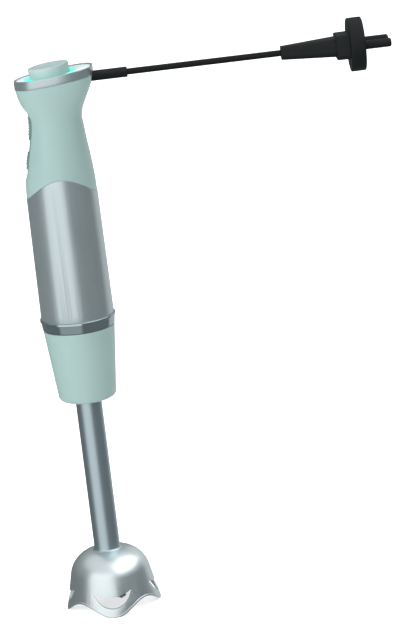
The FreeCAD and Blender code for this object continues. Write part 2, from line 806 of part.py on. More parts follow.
def make_buttons():
    low, high = z_join + panel_low, z_neck + panel_high
    opening = tongue(panel_half, low, high)
    flange = tongue(panel_half + 2.0, low - 2.0, high + 2.0)
    front = tongue(panel_half - slip, low + slip, high - slip)
    web = skins[panel_recess].cut(skins[shell_wall + slip]).common(front)
    back = skins[shell_wall + slip].cut(skins[panel_back]).common(flange)
    panel = web.fuse(back).removeSplitter()
    gap = (high - low - power_length - turbo_length) / 3
    turbo_low = low + gap
    power_low = turbo_low + turbo_length + gap
    half = button_width / 2
    face_x = board_x - switch_len
    switches = []
    for name, start, length in (("turbo", turbo_low, turbo_length), ("power", power_low, power_length)):
        middle = start + length / 2
        panel = panel.cut(tongue(half + 0.2, start - 0.2, start + length + 0.2))
        cap = skins[trim_proud].cut(skins[panel_back]).common(tongue(half, start, start + length))
        cap = [s for s in cap.Solids if s.BoundBox.Center.x < 0][0]
        cup = tongue(half - 1.2, start + 1.2, start + length - 1.2, -neck_front - 9, stem_x)
        cup = cup.common(skins[shell_wall])
        stem = bar(stem_r, V(stem_x - 0.5, 0, middle), V(face_x - 1.6, 0, middle))
        tip = bar(plunger_r, V(face_x - 1.8, 0, middle), V(face_x + 2.0, 0, middle))
        keep(name + "_button", joined([cap, cup, stem, tip]))
        shell = block(face_x, board_x, -switch_half, switch_half, middle - 3.2, middle + 3.2)
        bore = bar(plunger_r + 0.15, V(face_x - 1, 0, middle), V(face_x + button_travel + 2.5, 0, middle))
        switches.append(shell.cut(bore))
    keep("button_panel", panel)
    keep("switches", group(switches))
    return opening


# ---------------------------------------------------------------- head: trim, deck, halo, dial
plate_top = -13.0
plate_t = 1.6
deck_top = -0.8
deck_t = 1.6
halo_r = dial_r + halo_width
board_top = -5.4
board_r = halo_r - 1.8
diode_count = 8
spindle_r = 3.0
cap_r = dial_r - 1.3
cap_t = 0.9
dish_r = 190.0  # the shallow dish in the dial's top
dish_depth = 0.32


def make_head():
    notch = bar(relief_r + slip, V(20, 0, cord_z), V(60, 0, cord_z))
    trim = skins[-trim_proud].cut(skins[trim_wall]).common(slab(-trim_height, 0)).cut(notch)
    keep("trim_ring", trim)
    deck_skin = skins[panel_recess]
    deck = deck_skin.common(slab(deck_top - deck_t, deck_top)).cut(tilted(rod(halo_r + slip, -9, 9)))
    shelf_low = deck_top - deck_t - 1.4
    shelf = tilted(pipe(halo_r + 1.0, halo_r - 1.3, shelf_low, deck_top - deck_t + 0.2))
    deck = deck.fuse(shelf.common(deck_skin)).cut(tilted(rod(halo_r + slip, deck_top - deck_t, 9)))
    keep("head_deck", deck)
    keep("halo_ring", tilted(pipe(halo_r, dial_r + free, deck_top - deck_t, deck_top - 0.2)))

    plate = skins[shell_wall + slip].common(slab(plate_top - plate_t, plate_top))
    plate = plate.cut(tilted(rod(4.0, plate_top - 5, plate_top + 5)))
    posts = spun(rod(1.8, plate_top - 0.2, board_top - 1.4, board_r - 2.4, 0), 3, 60)
    seat = block(clamp_x0, clamp_x1, -clamp_half, clamp_half, cord_z - 12, cord_z)
    seat = seat.common(slab(plate_top - 0.2, 9))
    seat = seat.cut(bar(cord_d / 2, V(0, 0, cord_z), V(90, 0, cord_z)))
    plate = joined([plate, seat] + [tilted(p) for p in posts])
    plate = plate.common(skins[shell_wall + slip])
    keep("head_chassis", plate)

    board = pipe(board_r, 9.4, board_top - 1.4, board_top)
    chip = block(board_r - 2.4, board_r - 0.4, -1.4, 1.4, board_top - 0.1, board_top + 0.9)
    keep("light_board", tilted(joined([board] + spun(chip, diode_count, 180 / diode_count))))

    knob = rod(dial_r, deck_top - 1.0, dial_height).cut(rod(dial_r - 2.0, deck_top - 2, dial_height - 2.2))
    knob = knob.fuse(rod(5.0, deck_top - 1.0, dial_height - 1.5))
    knob = knob.cut(rod(spindle_r, -9, dial_height - 3.2))
    knob = knob.makeFillet(0.5, [e for e in knob.Edges if abs(e.BoundBox.ZMin - dial_height) < 0.01])
    knob = knob.cut(rod(cap_r, dial_height - cap_t, dial_height + 1))
    keep("speed_dial", tilted(knob))
    cap = rod(cap_r - slip, dial_height - cap_t, dial_height)
    cap = cap.makeFillet(0.35, [e for e in cap.Edges if abs(e.BoundBox.ZMin - dial_height) < 0.01])
    cap = cap.cut(Part.makeSphere(dish_r, V(0, 0, dial_height + dish_r - dish_depth)))
    keep("dial_cap", tilted(cap))
    spindle = rod(spindle_r - 0.02, plate_top + 3.0, dial_height - 3.3)
    keep("dial_spindle", tilted(spindle))
    pot = rod(8.4, plate_top, board_top - 2.4).fuse(rod(4.2, board_top - 3, board_top + 0.6))
    pot = pot.cut(rod(spindle_r + run, plate_top + 2.8, board_top + 9))
    keep("speed_control", tilted(pot))


# ---------------------------------------------------------------- mains lead, strain relief, plug
flange_x1 = head_back - shell_wall - 2.6
flange_x0 = flange_x1 - relief_flange_t
clamp_x1 = flange_x0 - 0.4
clamp_x0 = clamp_x1 - 3.2
clamp_half = 8.0
clamp_top = cord_z + cord_d / 2 + 1.0
clamp_screw_r = 0.9
clamp_screw_y = 5.6


def make_lead():
    sheath = bar(cord_d / 2, V(clamp_x0 - 1.0, 0, cord_z), V(relief_end_x, 0, cord_z))
    keep("cord_tail", sheath)
    sleeve = bar(relief_r, V(flange_x0, 0, cord_z), V(relief_end_x, 0, cord_z))
    sleeve = sleeve.fuse(bar(relief_r + relief_flange, V(flange_x0, 0, cord_z), V(flange_x1, 0, cord_z)))
    keep("strain_relief", sleeve.cut(bar(cord_d / 2, V(0, 0, cord_z), V(90, 0, cord_z))))
    saddle = block(clamp_x0, clamp_x1, -clamp_half, clamp_half, cord_z + 0.1, clamp_top)
    saddle = saddle.cut(bar(cord_d / 2, V(0, 0, cord_z), V(90, 0, cord_z)))
    middle_x = (clamp_x0 + clamp_x1) / 2
    small = screw(1.5, 1.0, clamp_screw_r, clamp_top - cord_z + 3.0)
    spots = [V(middle_x, y, clamp_top) for y in (-clamp_screw_y, clamp_screw_y)]
    chassis = parts["head_chassis"]
    for spot in spots:
        saddle = saddle.cut(rod(clamp_screw_r, cord_z - 1, cord_z + 9, spot.x, spot.y))
        chassis = chassis.cut(rod(clamp_screw_r, cord_z - 3.2, cord_z + 9, spot.x, spot.y))
    keep("head_chassis", chassis)
    keep("cord_clamp", saddle)
    keep("clamp_screws", group([placed(small, s) for s in spots]))
    keep("cord", bar(cord_d / 2, V(relief_end_x, 0, cord_z), V(relief_end_x + cord_free, 0, cord_z)))


def soft_outline(width, height, corner, x):
    """A rounded rectangle standing across X, centred on the lead."""
    w, h = width / 2, height / 2
    face = Part.makeBox(1, width, height, V(x, -w, cord_z - h))
    edges = [e for e in face.Edges if abs(e.BoundBox.XLength - 1) < 0.01]
    soft = face.makeFillet(corner, edges)
    ends = [f for f in soft.Faces if abs(f.BoundBox.XMax - x) < 0.01]
    return ends[0].OuterWire


plug_neck = (10.5, 9.3, 3.2)  # width, height and corner where the lead enters
plug_foot = (19.0, 13.4, 4.2)  # where the taper meets the grip
grip_start = (24.0, 17.3, 4.0)
grip_end = (26.0, 17.3, 4.0)
flange_round = 1.0
notch_half = 2.9
notch_depth = 2.6
pin_root = 8.0  # how deep the pins are held in the plug


def make_plug():
    start = relief_end_x + cord_free
    grip_x = start + plug_taper
    flange_x = grip_x + plug_grip
    face_x = flange_x + plug_flange_t
    taper = Part.makeLoft([soft_outline(*plug_neck, start), soft_outline(*plug_foot, grip_x)], True, True)
    ends = [soft_outline(*grip_start, grip_x - 1.0), soft_outline(*grip_end, flange_x + 1)]
    grip = Part.makeLoft(ends, True, True)
    flange = bar(plug_flange_r, V(flange_x, 0, cord_z), V(face_x, 0, cord_z))
    rims = [e for e in flange.Edges if abs(e.Length - 2 * math.pi * plug_flange_r) < 0.5]
    flange = flange.makeFillet(flange_round, rims)
    edge = plug_flange_r - notch_depth
    notches = []
    for low, high in ((edge, plug_flange_r + 5), (-plug_flange_r - 5, -edge)):
        notch = block(flange_x + 2.6, face_x + 1, -notch_half, notch_half, low, high)
        notches.append(placed(notch, V(0, 0, cord_z)))
    earth = bar(pin_r, V(face_x - pin_root - 1, 0, cord_z), V(face_x + 1, 0, cord_z))
    body = joined([taper, grip, flange]).cut(notches).cut(earth)
    pins, covers = [], []
    for side in (-1, 1):
        y = side * pin_pitch / 2
        tip_x = face_x + pin_length
        pin = bar(pin_r, V(face_x - pin_root, y, cord_z), V(tip_x - 0.6, y, cord_z))
        pins.append(pin.makeFillet(1.6, [e for e in pin.Edges if e.BoundBox.XMin > tip_x - 1]))
        cover = bar(pin_cover_r, V(face_x, y, cord_z), V(tip_x, y, cord_z))
        cover = cover.makeFillet(1.5, [e for e in cover.Edges if e.BoundBox.XMin > tip_x - 1])
        covers.append(cover.cut(pins[-1]))
        body = body.cut(bar(pin_r, V(face_x - pin_root, y, cord_z), V(face_x + 1, y, cord_z)))
    keep("plug_body", body)
    keep("plug_pins", group(pins))
    keep("pin_covers", group(covers))


# ---------------------------------------------------------------- control board
board_half = 12.5
sink_fins = (-8, -4, 0, 4, 7)  # where each fin starts across the board
sink_height = 16.0
choke_r = 3.4


def make_board():
    low = z_join + 17.0
    high = z_neck + 11.0
    back = board_x + board_t
    keep("control_board", block(board_x, back, -board_half, board_half, low, high))
    sink_low = low + 3
    sink_x = back + 7.0
    sink = block(sink_x - 1.5, sink_x, -9, 9, sink_low, sink_low + sink_height)
    fins = [block(sink_x, sink_x + 4.0, y, y + 1.0, sink_low, sink_low + sink_height) for y in sink_fins]
    keep("heat_sink", joined([sink] + fins))
    triac = block(back, sink_x - 1.5, -4, 4, low + 4, low + 14)
    suppressor = block(back, back + 8.0, -8, 8, low + 22, low + 34)
    choke = bar(choke_r, V(back + choke_r, -7, high - 8), V(back + choke_r, 7, high - 8))
    keep("board_parts", group([triac, suppressor, choke]))


# ---------------------------------------------------------------- handle shells and their screws
boss_r = 3.4
boss_spots = ((16.4, mix(z_join, z_neck, 0.36)), (14.6, z_neck + 2.0))  # x and z of each screw
housing_screw_r = 1.3
housing_head_r = 2.6


def make_shells(body, opening):
    reach = neck_half + 8.0
    sink_y = neck_half - 5.0
    tip_y = -neck_half + 6.5
    posts = [bar(boss_r, V(x, -reach, z), V(x, reach, z)).common(skins[0.0]) for x, z in boss_spots]
    web_r = body_r(z_join) - 1.0
    web = pipe(web_r, cushion_r + slip / 2, web_low, web_high)
    web = web.cut(spun(sector(cushion_r + 3.0, web_r - 4.0, web_low - 1, web_high + 1, 0, 60), 4, 45))
    body = joined([body, web] + posts)
    screws = []
    for x, z in boss_spots:
        fixing = screw(housing_head_r, 1.6, housing_screw_r, sink_y - tip_y)
        screws.append(placed(fixing, V(x, sink_y, z), (V(1, 0, 0), -90)))
        body = body.cut(bar(housing_screw_r, V(x, tip_y, z), V(x, sink_y, z)))
        body = body.cut(bar(housing_head_r + 0.2, V(x, sink_y, z), V(x, reach + 6, z)))
    keep("housing_screws", group(screws))
    notch = bar(relief_r + slip, V(20, 0, cord_z), V(60, 0, cord_z))
    body = body.cut(notch).cut(opening)
    half = seam / 2
    keep("handle_shell_left", body.common(block(-90, 90, half, 90, 0, z_head + 60)))
    keep("handle_shell_right", body.common(block(-90, 90, -90, -half, 0, z_head + 60)))


make_bell()
make_tube()
make_collar()
make_spigot()
socket_r, socket_flange = make_socket()
make_drive()
make_blade()
make_motor()
casing = make_casing(socket_r, socket_flange)
panel_opening = make_buttons()
make_head()
make_lead()
make_plug()
make_board()
make_shells(casing, panel_opening)

os.makedirs("parts", exist_ok=True)
for node, shape in parts.items():
    shape.exportStep("parts/" + node + ".step")
print(len(parts), "pieces")
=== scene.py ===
import json
import math

import bmesh
import bpy
from mathutils import Matrix, Vector


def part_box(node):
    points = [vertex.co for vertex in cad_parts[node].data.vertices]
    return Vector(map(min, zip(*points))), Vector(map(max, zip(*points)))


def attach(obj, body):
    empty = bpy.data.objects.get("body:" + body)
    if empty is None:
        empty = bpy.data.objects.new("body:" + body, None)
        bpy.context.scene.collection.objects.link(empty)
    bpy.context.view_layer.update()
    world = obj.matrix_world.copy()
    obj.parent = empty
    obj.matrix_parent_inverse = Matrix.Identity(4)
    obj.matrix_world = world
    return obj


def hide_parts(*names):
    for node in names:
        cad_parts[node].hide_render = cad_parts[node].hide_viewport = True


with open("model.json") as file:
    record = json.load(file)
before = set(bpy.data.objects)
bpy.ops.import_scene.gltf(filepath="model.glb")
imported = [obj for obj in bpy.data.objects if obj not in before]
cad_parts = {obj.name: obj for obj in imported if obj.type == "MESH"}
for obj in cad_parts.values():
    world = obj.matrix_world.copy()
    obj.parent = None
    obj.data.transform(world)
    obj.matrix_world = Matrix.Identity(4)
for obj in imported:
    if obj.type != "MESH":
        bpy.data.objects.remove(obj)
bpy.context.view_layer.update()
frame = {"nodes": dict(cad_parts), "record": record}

nodes = frame["nodes"]
mm = 0.001
white = (1.0, 1.0, 1.0, 1.0)
print("frame loaded:", len(nodes), "nodes")


# node trees, written as sums
class Sock:  # one socket; arithmetic on it adds Math nodes
    def __init__(self, graph, port):
        self.graph = graph
        self.port = port

    def __add__(self, other):
        return self.graph.maths("ADD", self, other)

    def __radd__(self, other):
        return self.graph.maths("ADD", other, self)

    def __sub__(self, other):
        return self.graph.maths("SUBTRACT", self, other)

    def __rsub__(self, other):
        return self.graph.maths("SUBTRACT", other, self)

    def __mul__(self, other):
        return self.graph.maths("MULTIPLY", self, other)

    def __rmul__(self, other):
        return self.graph.maths("MULTIPLY", other, self)

    def __truediv__(self, other):
        return self.graph.maths("DIVIDE", self, other)


class Graph:  # a node tree while it is being built
    def __init__(self, tree):
        self.tree = tree

    def add(self, kind, settings=None, inputs=None):
        node = self.tree.nodes.new(kind)
        for name, value in (settings or {}).items():
            setattr(node, name, value)
        for name, value in (inputs or {}).items():
            socket = node.inputs[name]
            if isinstance(value, Sock):
                value = value.port
            if isinstance(value, bpy.types.NodeSocket):
                self.tree.links.new(value, socket)
            else:
                socket.default_value = value
        return node

    def get(self, node, name=0):
        return Sock(self, node.outputs[name])

    def maths(self, operation, *terms):
        return self.get(self.add("ShaderNodeMath", {"operation": operation}, dict(enumerate(terms))))

    def clamp(self, value):
        return self.get(self.add("ShaderNodeClamp", None, {"Value": value}))

    def mixColour(self, share, first, second):
        settings = {"data_type": "RGBA"}
        node = self.add("ShaderNodeMix", settings, {0: share, 6: first, 7: second})
        return Sock(self, node.outputs[2])


def rgb(red, green, blue):  # screen colour, 0 to 255, as a linear colour
    parts = []
    for value in (red, green, blue):
        value /= 255
        parts.append(value / 12.92 if value <= 0.04045 else ((value + 0.055) / 1.055) ** 2.4)
    return tuple(parts)


def tinted(colour, factor):
    return (*[min(1.0, part * factor) for part in colour[:3]], 1.0)


# finishes
class Finish(Graph):  # one material with a Principled shader and object coordinates
    def __init__(self, name):
        self.material = bpy.data.materials.new(name)
        self.material.use_nodes = True
        super().__init__(self.material.node_tree)
        self.shader = self.tree.nodes["Principled BSDF"]
        coordinates = self.add("ShaderNodeTexCoord")
        self.point = self.get(coordinates, "Object")

    def stretched(self, scale, shift=(0.0, 0.0, 0.0)):
        inputs = {"Vector": self.point, "Scale": scale, "Location": shift}
        return self.get(self.add("ShaderNodeMapping", None, inputs))

    def noise(self, scale, detail, vector=None):
        inputs = {"Vector": vector or self.point, "Scale": scale, "Detail": detail}
        return self.get(self.add("ShaderNodeTexNoise", None, inputs), "Fac")

    def cells(self, scale):
        inputs = {"Vector": self.point, "Scale": scale}
        return self.get(self.add("ShaderNodeTexVoronoi", None, inputs), "Distance")

    def bands(self, scale, direction, distortion):
        settings = {"wave_type": "BANDS", "bands_direction": direction}
        inputs = {"Vector": self.point, "Scale": scale, "Distortion": distortion}
        return self.get(self.add("ShaderNodeTexWave", settings, inputs), "Fac")

    def relief(self, height, strength, depth):
        inputs = {"Height": height, "Strength": strength, "Distance": depth}
        node = self.add("ShaderNodeBump", None, inputs)
        self.tree.links.new(node.outputs[0], self.shader.inputs["Normal"])

    def drive(self, name, value):
        self.tree.links.new(value.port, self.shader.inputs[name])

    def fixed(self, **values):
        for name, value in values.items():
            self.shader.inputs[name.replace("_", " ")].default_value = value

    def shade(self, colour, mask, low, high):  # the colour varies from low to high times itself
        self.drive("Base Color", self.mixColour(mask, tinted(colour, low), tinted(colour, high)))


plasticLook = {
    "mintPlastic": {"colour": rgb(125, 148, 145), "rough": 0.36, "grain": 0.10, "coat": 0.12},
    "dialPlastic": {"colour": rgb(150, 168, 167), "rough": 0.40, "grain": 0.12, "coat": 0.08},
    "palePlastic": {"colour": rgb(218, 229, 228), "rough": 0.34, "grain": 0.08, "coat": 0.12},
    "softGrip": {"colour": rgb(96, 118, 115), "rough": 0.62, "grain": 0.35, "coat": 0.0},
    "innerPlastic": {"colour": rgb(74, 80, 82), "rough": 0.55, "grain": 0.25, "coat": 0.0},
    "blackPlastic": {"colour": rgb(10, 14, 15), "rough": 0.46, "grain": 0.20, "coat": 0.0},
    "blackRubber": {"colour": rgb(10, 14, 15), "rough": 0.50, "grain": 0.30, "coat": 0.0},
    "sealRubber": {"colour": rgb(150, 156, 156), "rough": 0.60, "grain": 0.15, "coat": 0.0},
}


def mouldedPlastic(name):
    look = plasticLook[name]
    finish = Finish(name)
    cloud = finish.noise(26.0, 3.0)
    finish.shade(look["colour"], cloud, 0.95, 1.05)
    speckle = finish.noise(5200.0, 2.0)
    wear = finish.noise(140.0, 4.0)
    finish.drive("Roughness", look["rough"] + (wear - 0.5) * 0.10 + (speckle - 0.5) * 0.08)
    finish.relief(speckle, look["grain"], 0.00006)
    finish.fixed(Coat_Weight=look["coat"], Coat_Roughness=0.22)
    if look["rough"] > 0.44:  # dull pieces give less sheen
        finish.fixed(Specular_IOR_Level=0.22)
    return finish.material


metalLook = {
    "satinSteel": {"colour": rgb(222, 231, 233), "rough": 0.34, "lines": 0.03, "across": 1500.0},
    "tubeSteel": {"colour": rgb(184, 200, 206), "rough": 0.38, "lines": 0.02, "across": 1200.0},
    "bladeSteel": {"colour": rgb(214, 218, 220), "rough": 0.16, "lines": 0.10, "across": 2200.0},
    "groundSteel": {"colour": rgb(190, 194, 197), "rough": 0.24, "lines": 0.12, "across": 3600.0},
    "zincSteel": {"colour": rgb(188, 192, 196), "rough": 0.34, "lines": 0.06, "across": 1800.0},
}


def turnedSteel(name):  # fine lines left by turning run round the long axis
    look = metalLook[name]
    finish = Finish(name)
    rings = finish.stretched((30.0, 30.0, look["across"]))
    lines = finish.noise(1.0, 2.0, rings)
    smear = finish.noise(60.0, 3.0)
    finish.shade(look["colour"], smear * 0.7 + lines * 0.3, 0.95, 1.03)
    finish.drive("Roughness", look["rough"] + (lines - 0.5) * 0.05 + (smear - 0.5) * 0.06)
    finish.relief(lines, look["lines"], 0.00002)
    finish.fixed(Metallic=1.0)
    return finish.material


silverLook = {
    "silverSleeve": {"colour": rgb(190, 202, 205), "rough": 0.30, "flake": 9000.0, "coat": 0.35},
    "silverTrim": {"colour": rgb(182, 196, 198), "rough": 0.26, "flake": 9000.0, "coat": 0.45},
}


def silverPaint(name):
    look = silverLook[name]
    finish = Finish(name)
    flakes = finish.cells(look["flake"])
    cloud = finish.noise(40.0, 2.0)
    finish.shade(look["colour"], flakes * 0.5 + cloud * 0.5, 0.90, 1.06)
    finish.drive("Roughness", look["rough"] + (cloud - 0.5) * 0.05 + flakes * 0.04)
    finish.relief(flakes, 0.05, 0.00002)
    finish.fixed(Metallic=0.9, Coat_Weight=look["coat"], Coat_Roughness=0.12)
    return finish.material


chromeLook = {"colour": rgb(180, 195, 200), "rough": 0.10}


def chromePlate():
    finish = Finish("chromeRing")
    smear = finish.noise(90.0, 4.0)
    finish.shade(chromeLook["colour"], smear, 0.94, 1.03)
    finish.drive("Roughness", chromeLook["rough"] + smear * 0.05)
    finish.relief(finish.noise(900.0, 2.0), 0.02, 0.00002)
    finish.fixed(Metallic=1.0)
    return finish.material


glowLook = {"colour": rgb(96, 214, 198), "light": rgb(64, 222, 206), "strength": 0.75, "spots": 8}


dialCentre = Vector((2.0 * mm, 0.0, 392.4 * mm))


def litPlastic():  # brighter above each diode
    finish = Finish("glowRing")
    place = finish.stretched((1.0, 1.0, 1.0), shift=(-dialCentre.x, 0.0, 0.0))
    split = finish.add("ShaderNodeSeparateXYZ", None, {0: place})
    x, y = finish.get(split, "X"), finish.get(split, "Y")
    turn = finish.maths("ARCTAN2", y, x)
    wave = finish.maths("COSINE", (turn + math.pi / glowLook["spots"]) * glowLook["spots"])
    cloud = finish.noise(300.0, 2.0)
    finish.shade(glowLook["colour"], cloud, 0.96, 1.04)
    dim = tinted(glowLook["light"], 0.72)
    finish.drive("Emission Color", finish.mixColour(wave * 0.5 + 0.5, dim, tinted(glowLook["light"], 1.0)))
    finish.relief(cloud, 0.05, 0.00005)
    finish.fixed(Roughness=0.35, Emission_Strength=glowLook["strength"])
    return finish.material


def circuitBoard():
    finish = Finish("circuitBoard")
    grid = finish.bands(420.0, "Z", 2.5) * finish.bands(360.0, "Y", 2.5)
    tracks = finish.clamp((grid - 0.35) * 8.0)
    green, copper = (*rgb(22, 92, 52), 1.0), (*rgb(60, 132, 70), 1.0)
    finish.drive("Base Color", finish.mixColour(tracks, green, copper))
    finish.relief(tracks, 0.2, 0.00005)
    finish.fixed(Roughness=0.4, Coat_Weight=0.3)
    return finish.material


def copperWire():  # enamelled turns lie side by side
    finish = Finish("copperWire")
    turnWaveAndShade = finish.bands(900.0, "DIAGONAL", 0.6)
    # the colour is painted darker in the grooves between turns (painted shade) and lighter along their
    # crowns (painted highlight); the same wave also gives the turns their bump
    finish.shade(rgb(196, 112, 66), turnWaveAndShade, 0.62, 1.08)
    finish.relief(turnWaveAndShade, 0.6, 0.0002)
    finish.fixed(Metallic=0.85, Roughness=0.3, Coat_Weight=0.4)
    return finish.material


def stackedSheets():
    finish = Finish("laminationSteel")
    sheets = finish.bands(620.0, "Z", 0.2)
    finish.shade(rgb(112, 114, 118), sheets, 0.7, 1.1)
    finish.relief(sheets, 0.4, 0.00015)
    finish.fixed(Metallic=0.9, Roughness=0.45)
    return finish.material


def cableSheath():  # extruded sheath: faint lines along the lead, a little dull in patches
    look = plasticLook["blackRubber"]
    finish = Finish("blackCable")
    lines = finish.noise(1.0, 2.0, finish.stretched((20.0, 1800.0, 1800.0)))
    dust = finish.noise(50.0, 4.0)
    finish.shade(look["colour"], dust, 0.55, 0.8)
    finish.drive("Roughness", 0.46 + (dust - 0.5) * 0.12)
    finish.relief(lines, 0.12, 0.00003)
    finish.fixed(Specular_IOR_Level=0.2)
    return finish.material


grainLook = {
    "castAluminium": {"colour": (182, 186, 190), "metal": 1.0, "rough": 0.42, "grain": 900.0, "deep": 0.3},
    "sinteredBronze": {"colour": (168, 124, 74), "metal": 0.9, "rough": 0.48, "grain": 2400.0, "deep": 0.25},
    "nickelBrass": {"colour": (196, 192, 178), "metal": 1.0, "rough": 0.22, "grain": 1600.0, "deep": 0.05},
    "pressedCarbon": {"colour": (52, 53, 56), "metal": 0.3, "rough": 0.55, "grain": 3000.0, "deep": 0.3},
}


def grainyMetal(name):
    look = grainLook[name]
    finish = Finish(name)
    grains = finish.cells(look["grain"])
    cloud = finish.noise(120.0, 3.0)
    finish.shade(rgb(*look["colour"]), grains * 0.5 + cloud * 0.5, 0.84, 1.1)
    finish.drive("Roughness", look["rough"] + (cloud - 0.5) * 0.15)
    finish.relief(grains, look["deep"], 0.00008)
    finish.fixed(Metallic=look["metal"])
    return finish.material


finishes = {
    "chrome_ring": chromePlate(),
    "glow_ring": litPlastic(),
    "circuit_board": circuitBoard(),
    "copper_wire": copperWire(),
    "lamination_steel": stackedSheets(),
    "mint_plastic": mouldedPlastic("mintPlastic"),
    "dial_plastic": mouldedPlastic("dialPlastic"),
    "pale_plastic": mouldedPlastic("palePlastic"),
    "soft_grip": mouldedPlastic("softGrip"),
    "inner_plastic": mouldedPlastic("innerPlastic"),
    "black_plastic": mouldedPlastic("blackPlastic"),
    "black_rubber": mouldedPlastic("blackRubber"),
    "seal_rubber": mouldedPlastic("sealRubber"),
    "silver_sleeve": silverPaint("silverSleeve"),
    "silver_trim": silverPaint("silverTrim"),
    "satin_steel": turnedSteel("satinSteel"),
    "tube_steel": turnedSteel("tubeSteel"),
    "blade_steel": turnedSteel("bladeSteel"),
    "ground_steel": turnedSteel("groundSteel"),
    "zinc_steel": turnedSteel("zincSteel"),
    "aluminium": grainyMetal("castAluminium"),
    "bronze": grainyMetal("sinteredBronze"),
    "nickel_brass": grainyMetal("nickelBrass"),
    "carbon": grainyMetal("pressedCarbon"),
    "black_cable": cableSheath(),
}


slotOf = {row["node"]: row["material_slot"] for row in frame["record"]["subparts"]}
bodyOf = {}
for body, members in frame["record"]["behaviour"]["bodies"].items():
    for member in members:
        bodyOf[member] = body

for node, slotName in slotOf.items():
    mesh = nodes[node].data
    mesh.materials.clear()
    mesh.materials.append(finishes[slotName])
print("finishes on the nodes:", len(finishes))


# pieces finished beyond their plain frame shapes
def keepPiece(item, body, slotName, *stoodFor):
    item.data.materials.clear()
    item.data.materials.append(finishes[slotName])
    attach(item, body)
    if stoodFor:
        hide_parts(*stoodFor)


def newPiece(name, mesh):
    item = bpy.data.objects.new(name, mesh)
    bpy.context.scene.collection.objects.link(item)
    return item


def settle(item):  # the modifiers' result becomes the plain mesh
    bpy.context.view_layer.update()
    shaped = item.evaluated_get(bpy.context.evaluated_depsgraph_get())
    mesh = bpy.data.meshes.new_from_object(shaped)
    item.modifiers.clear()
    item.data = mesh


def smoothed(mesh, angle=32.0):  # smooth shading, with edges sharper than the angle left crisp
    shape = bmesh.new()
    shape.from_mesh(mesh)
    for face in shape.faces:
        face.smooth = True
    for edge in shape.edges:
        edge.smooth = len(edge.link_faces) == 2 and edge.calc_face_angle() < math.radians(angle)
    shape.to_mesh(mesh)
    shape.free()


def rounded(points, radii, steps=6):  # an outline of (radius, height) with its corners rounded
    outline = []
    for index, (point, radius) in enumerate(zip(points, radii)):
        here = Vector(point)
        before = Vector(points[index - 1]) - here
        after = Vector(points[(index + 1) % len(points)]) - here
        if radius == 0:
            outline.append(here)
            continue
        half = before.angle(after) / 2
        reach = radius / math.tan(half)
        start = here + before.normalized() * reach
        end = here + after.normalized() * reach
        middle = here + (before.normalized() + after.normalized()).normalized() * (radius / math.sin(half))
        for step in range(steps + 1):
            spoke = (start - middle).lerp(end - middle, step / steps).normalized() * radius
            outline.append(middle + spoke)
    return outline


def turnedMesh(name, outline, segments=144):  # a closed ring turned about the long axis
    mesh = bpy.data.meshes.new(name)
    shape = bmesh.new()
    rings = []
    for point in outline:
        ring = []
        radius = point.x * mm
        for step in range(segments):
            turn = 2 * math.pi * step / segments
            ring.append(shape.verts.new((radius * math.cos(turn), radius * math.sin(turn), point.y * mm)))
        rings.append(ring)
    for index, ring in enumerate(rings):
        above = rings[(index + 1) % len(rings)]
        for step in range(segments):
            after = (step + 1) % segments
            shape.faces.new((ring[step], ring[after], above[after], above[step]))
    bmesh.ops.recalc_face_normals(shape, faces=shape.faces)
    shape.to_mesh(mesh)
    shape.free()
    smoothed(mesh)
    return mesh


tubeLook = {"outer": 9.4, "inner": 8.6, "low": 41.0, "flare": 12.3, "flareRise": 4.2, "top": 194.0}


def makeTube():  # its foot flares out where it is welded to the bell
    look = tubeLook
    points = [
        (look["inner"], look["low"]),
        (look["flare"], look["low"]),
        (look["flare"] - 0.2, look["low"] + 0.7),
        (look["outer"], look["low"] + 1.1),
        (look["outer"], look["top"]),
        (look["inner"], look["top"]),
    ]
    radii = (0, 0, 0, 2.2, 0.2, 0)
    tube = newPiece("footTube", turnedMesh("footTube", rounded(points, radii, 10)))
    keepPiece(tube, "foot", "tube_steel", "foot_tube")


ringLook = {
    "low": 210.4,
    "top": 218.2,
    "foot": 25.75,  # radii from here on
    "neck": 26.5,
    "lip": 27.05,
    "bore": 26.15,
    "inner": 25.2,
}


def makeBaseRing():  # a polished ring with a round lip along its upper edge
    look = ringLook
    top = look["top"]
    points = [
        (look["inner"], look["low"]),
        (look["foot"], look["low"]),
        (look["neck"], top - 1.75),
        (look["lip"], top - 1.5),
        (look["lip"], top),
        (look["bore"], top),
        (look["bore"], top - 1.0),
        (look["inner"], top - 1.0),
    ]
    radii = (0, 0.3, 0.3, 0.1, 0.42, 0.42, 0, 0)
    ring = newPiece("baseRing", turnedMesh("baseRing", rounded(points, radii)))
    keepPiece(ring, "motor_unit", "chrome_ring", "base_ring")


# frame nodes whose edges are rounded off, with the radius in millimetres
softEdges = {
    "trim_ring": 0.38,
    "bell": 0.34,
    "foot_collar": 0.3,
    "motor_sleeve": 0.2,
    "head_deck": 0.2,
    "strain_relief": 0.4,
    "plug_body": 0.4,
    "power_button": 0.35,
    "turbo_button": 0.35,
    "button_panel": 0.25,
    "blade": 0.15,
}


edgeLook = {"merge": 1e-6, "flat": math.radians(0.6), "sharp": math.radians(38.0), "steps": 3}


def softenEdges():
    look = edgeLook
    for node, radius in softEdges.items():
        source = nodes[node]
        item = newPiece(node + "_soft", source.data.copy())
        shape = bmesh.new()
        shape.from_mesh(item.data)
        bmesh.ops.remove_doubles(shape, verts=shape.verts, dist=look["merge"])
        bmesh.ops.dissolve_limit(shape, angle_limit=look["flat"], verts=shape.verts, edges=shape.edges)
        shape.to_mesh(item.data)
        shape.free()
        bevel = item.modifiers.new("edges", "BEVEL")
        bevel.width = radius * mm
        bevel.segments = look["steps"]
        bevel.limit_method = "ANGLE"
        bevel.angle_limit = look["sharp"]
        settle(item)
        smoothed(item.data)
        keepPiece(item, bodyOf[node], slotOf[node], node)


